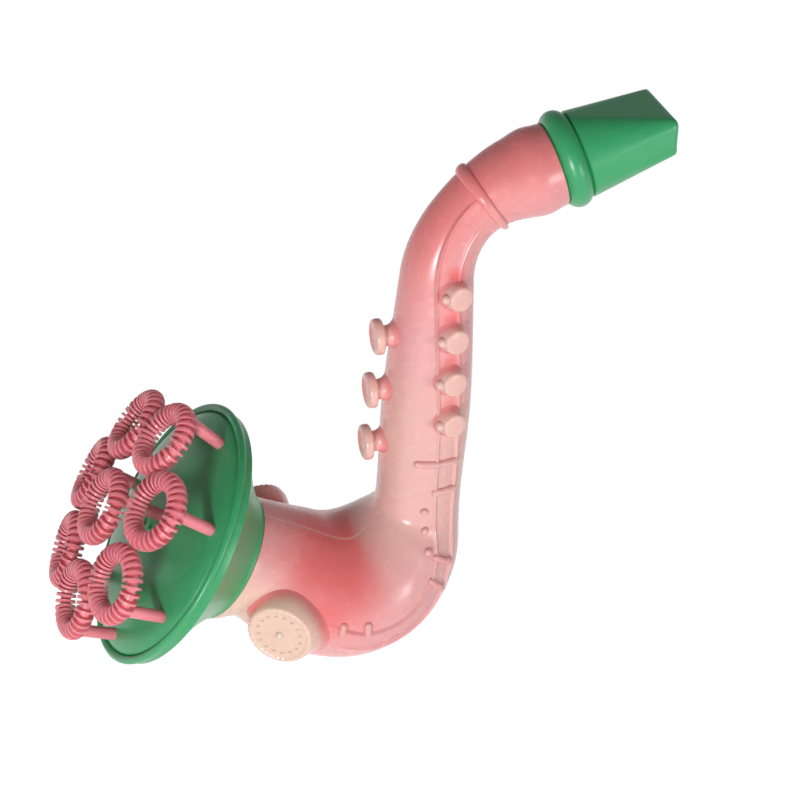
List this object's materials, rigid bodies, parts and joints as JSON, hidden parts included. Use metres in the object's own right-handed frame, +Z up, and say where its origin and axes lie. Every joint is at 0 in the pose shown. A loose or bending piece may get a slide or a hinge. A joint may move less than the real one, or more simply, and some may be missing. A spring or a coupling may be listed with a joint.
{
  "type": "bubble blower trumpet",
  "caption": "Saxophone-shaped bubble blower: a hollow curved body with moulded keys, a push-on mouthpiece and a bell whose face plate carries finned bubble wands.",
  "frame": {"origin": "middle of the length and of the width, at the height of the lowest point of the bow", "axes": "+Z up, the mouthpiece towards +X, the bell towards -X, the side with the keys towards -Y"},
  "size_m": [0.2133, 0.094, 0.1937],
  "materials": {
    "pink_shell": "thin blown plastic, glossy and slightly milky",
    "green_plastic": "moulded plastic, glossy",
    "rose_plastic": "moulded plastic, slightly milky"
  },
  "bodies": {
    "body": {"body_shell": "pink_shell"},
    "mouth": {"mouthpiece": "green_plastic"},
    "bell": {"bell_flare": "green_plastic"},
    "face": {"bell_face_plate": "green_plastic", "wand_middle": "rose_plastic", "wand_top": "rose_plastic", "wand_near_upper": "rose_plastic", "wand_near_lower": "rose_plastic", "wand_bottom_near": "rose_plastic", "wand_bottom_far": "rose_plastic", "wand_far_lower": "rose_plastic", "wand_far_upper": "rose_plastic"}
  },
  "joints": [
    {"name": "bell_swivel", "type": "hinge", "parent": "body", "child": "bell", "pos_m": [-0.04476, 0, 0.04143], "axis": [-0.8387, 0, 0.5446], "continuous": true},
    {"name": "face_pull", "type": "slide", "parent": "bell", "child": "face", "axis": [-0.8387, 0, 0.5446], "range_m": [0, 0.012]},
    {"name": "mouthpiece_pull", "type": "slide", "parent": "body", "child": "mouth", "axis": [0.9588, 0, 0.284], "range_m": [0, 0.016]}
  ]
}
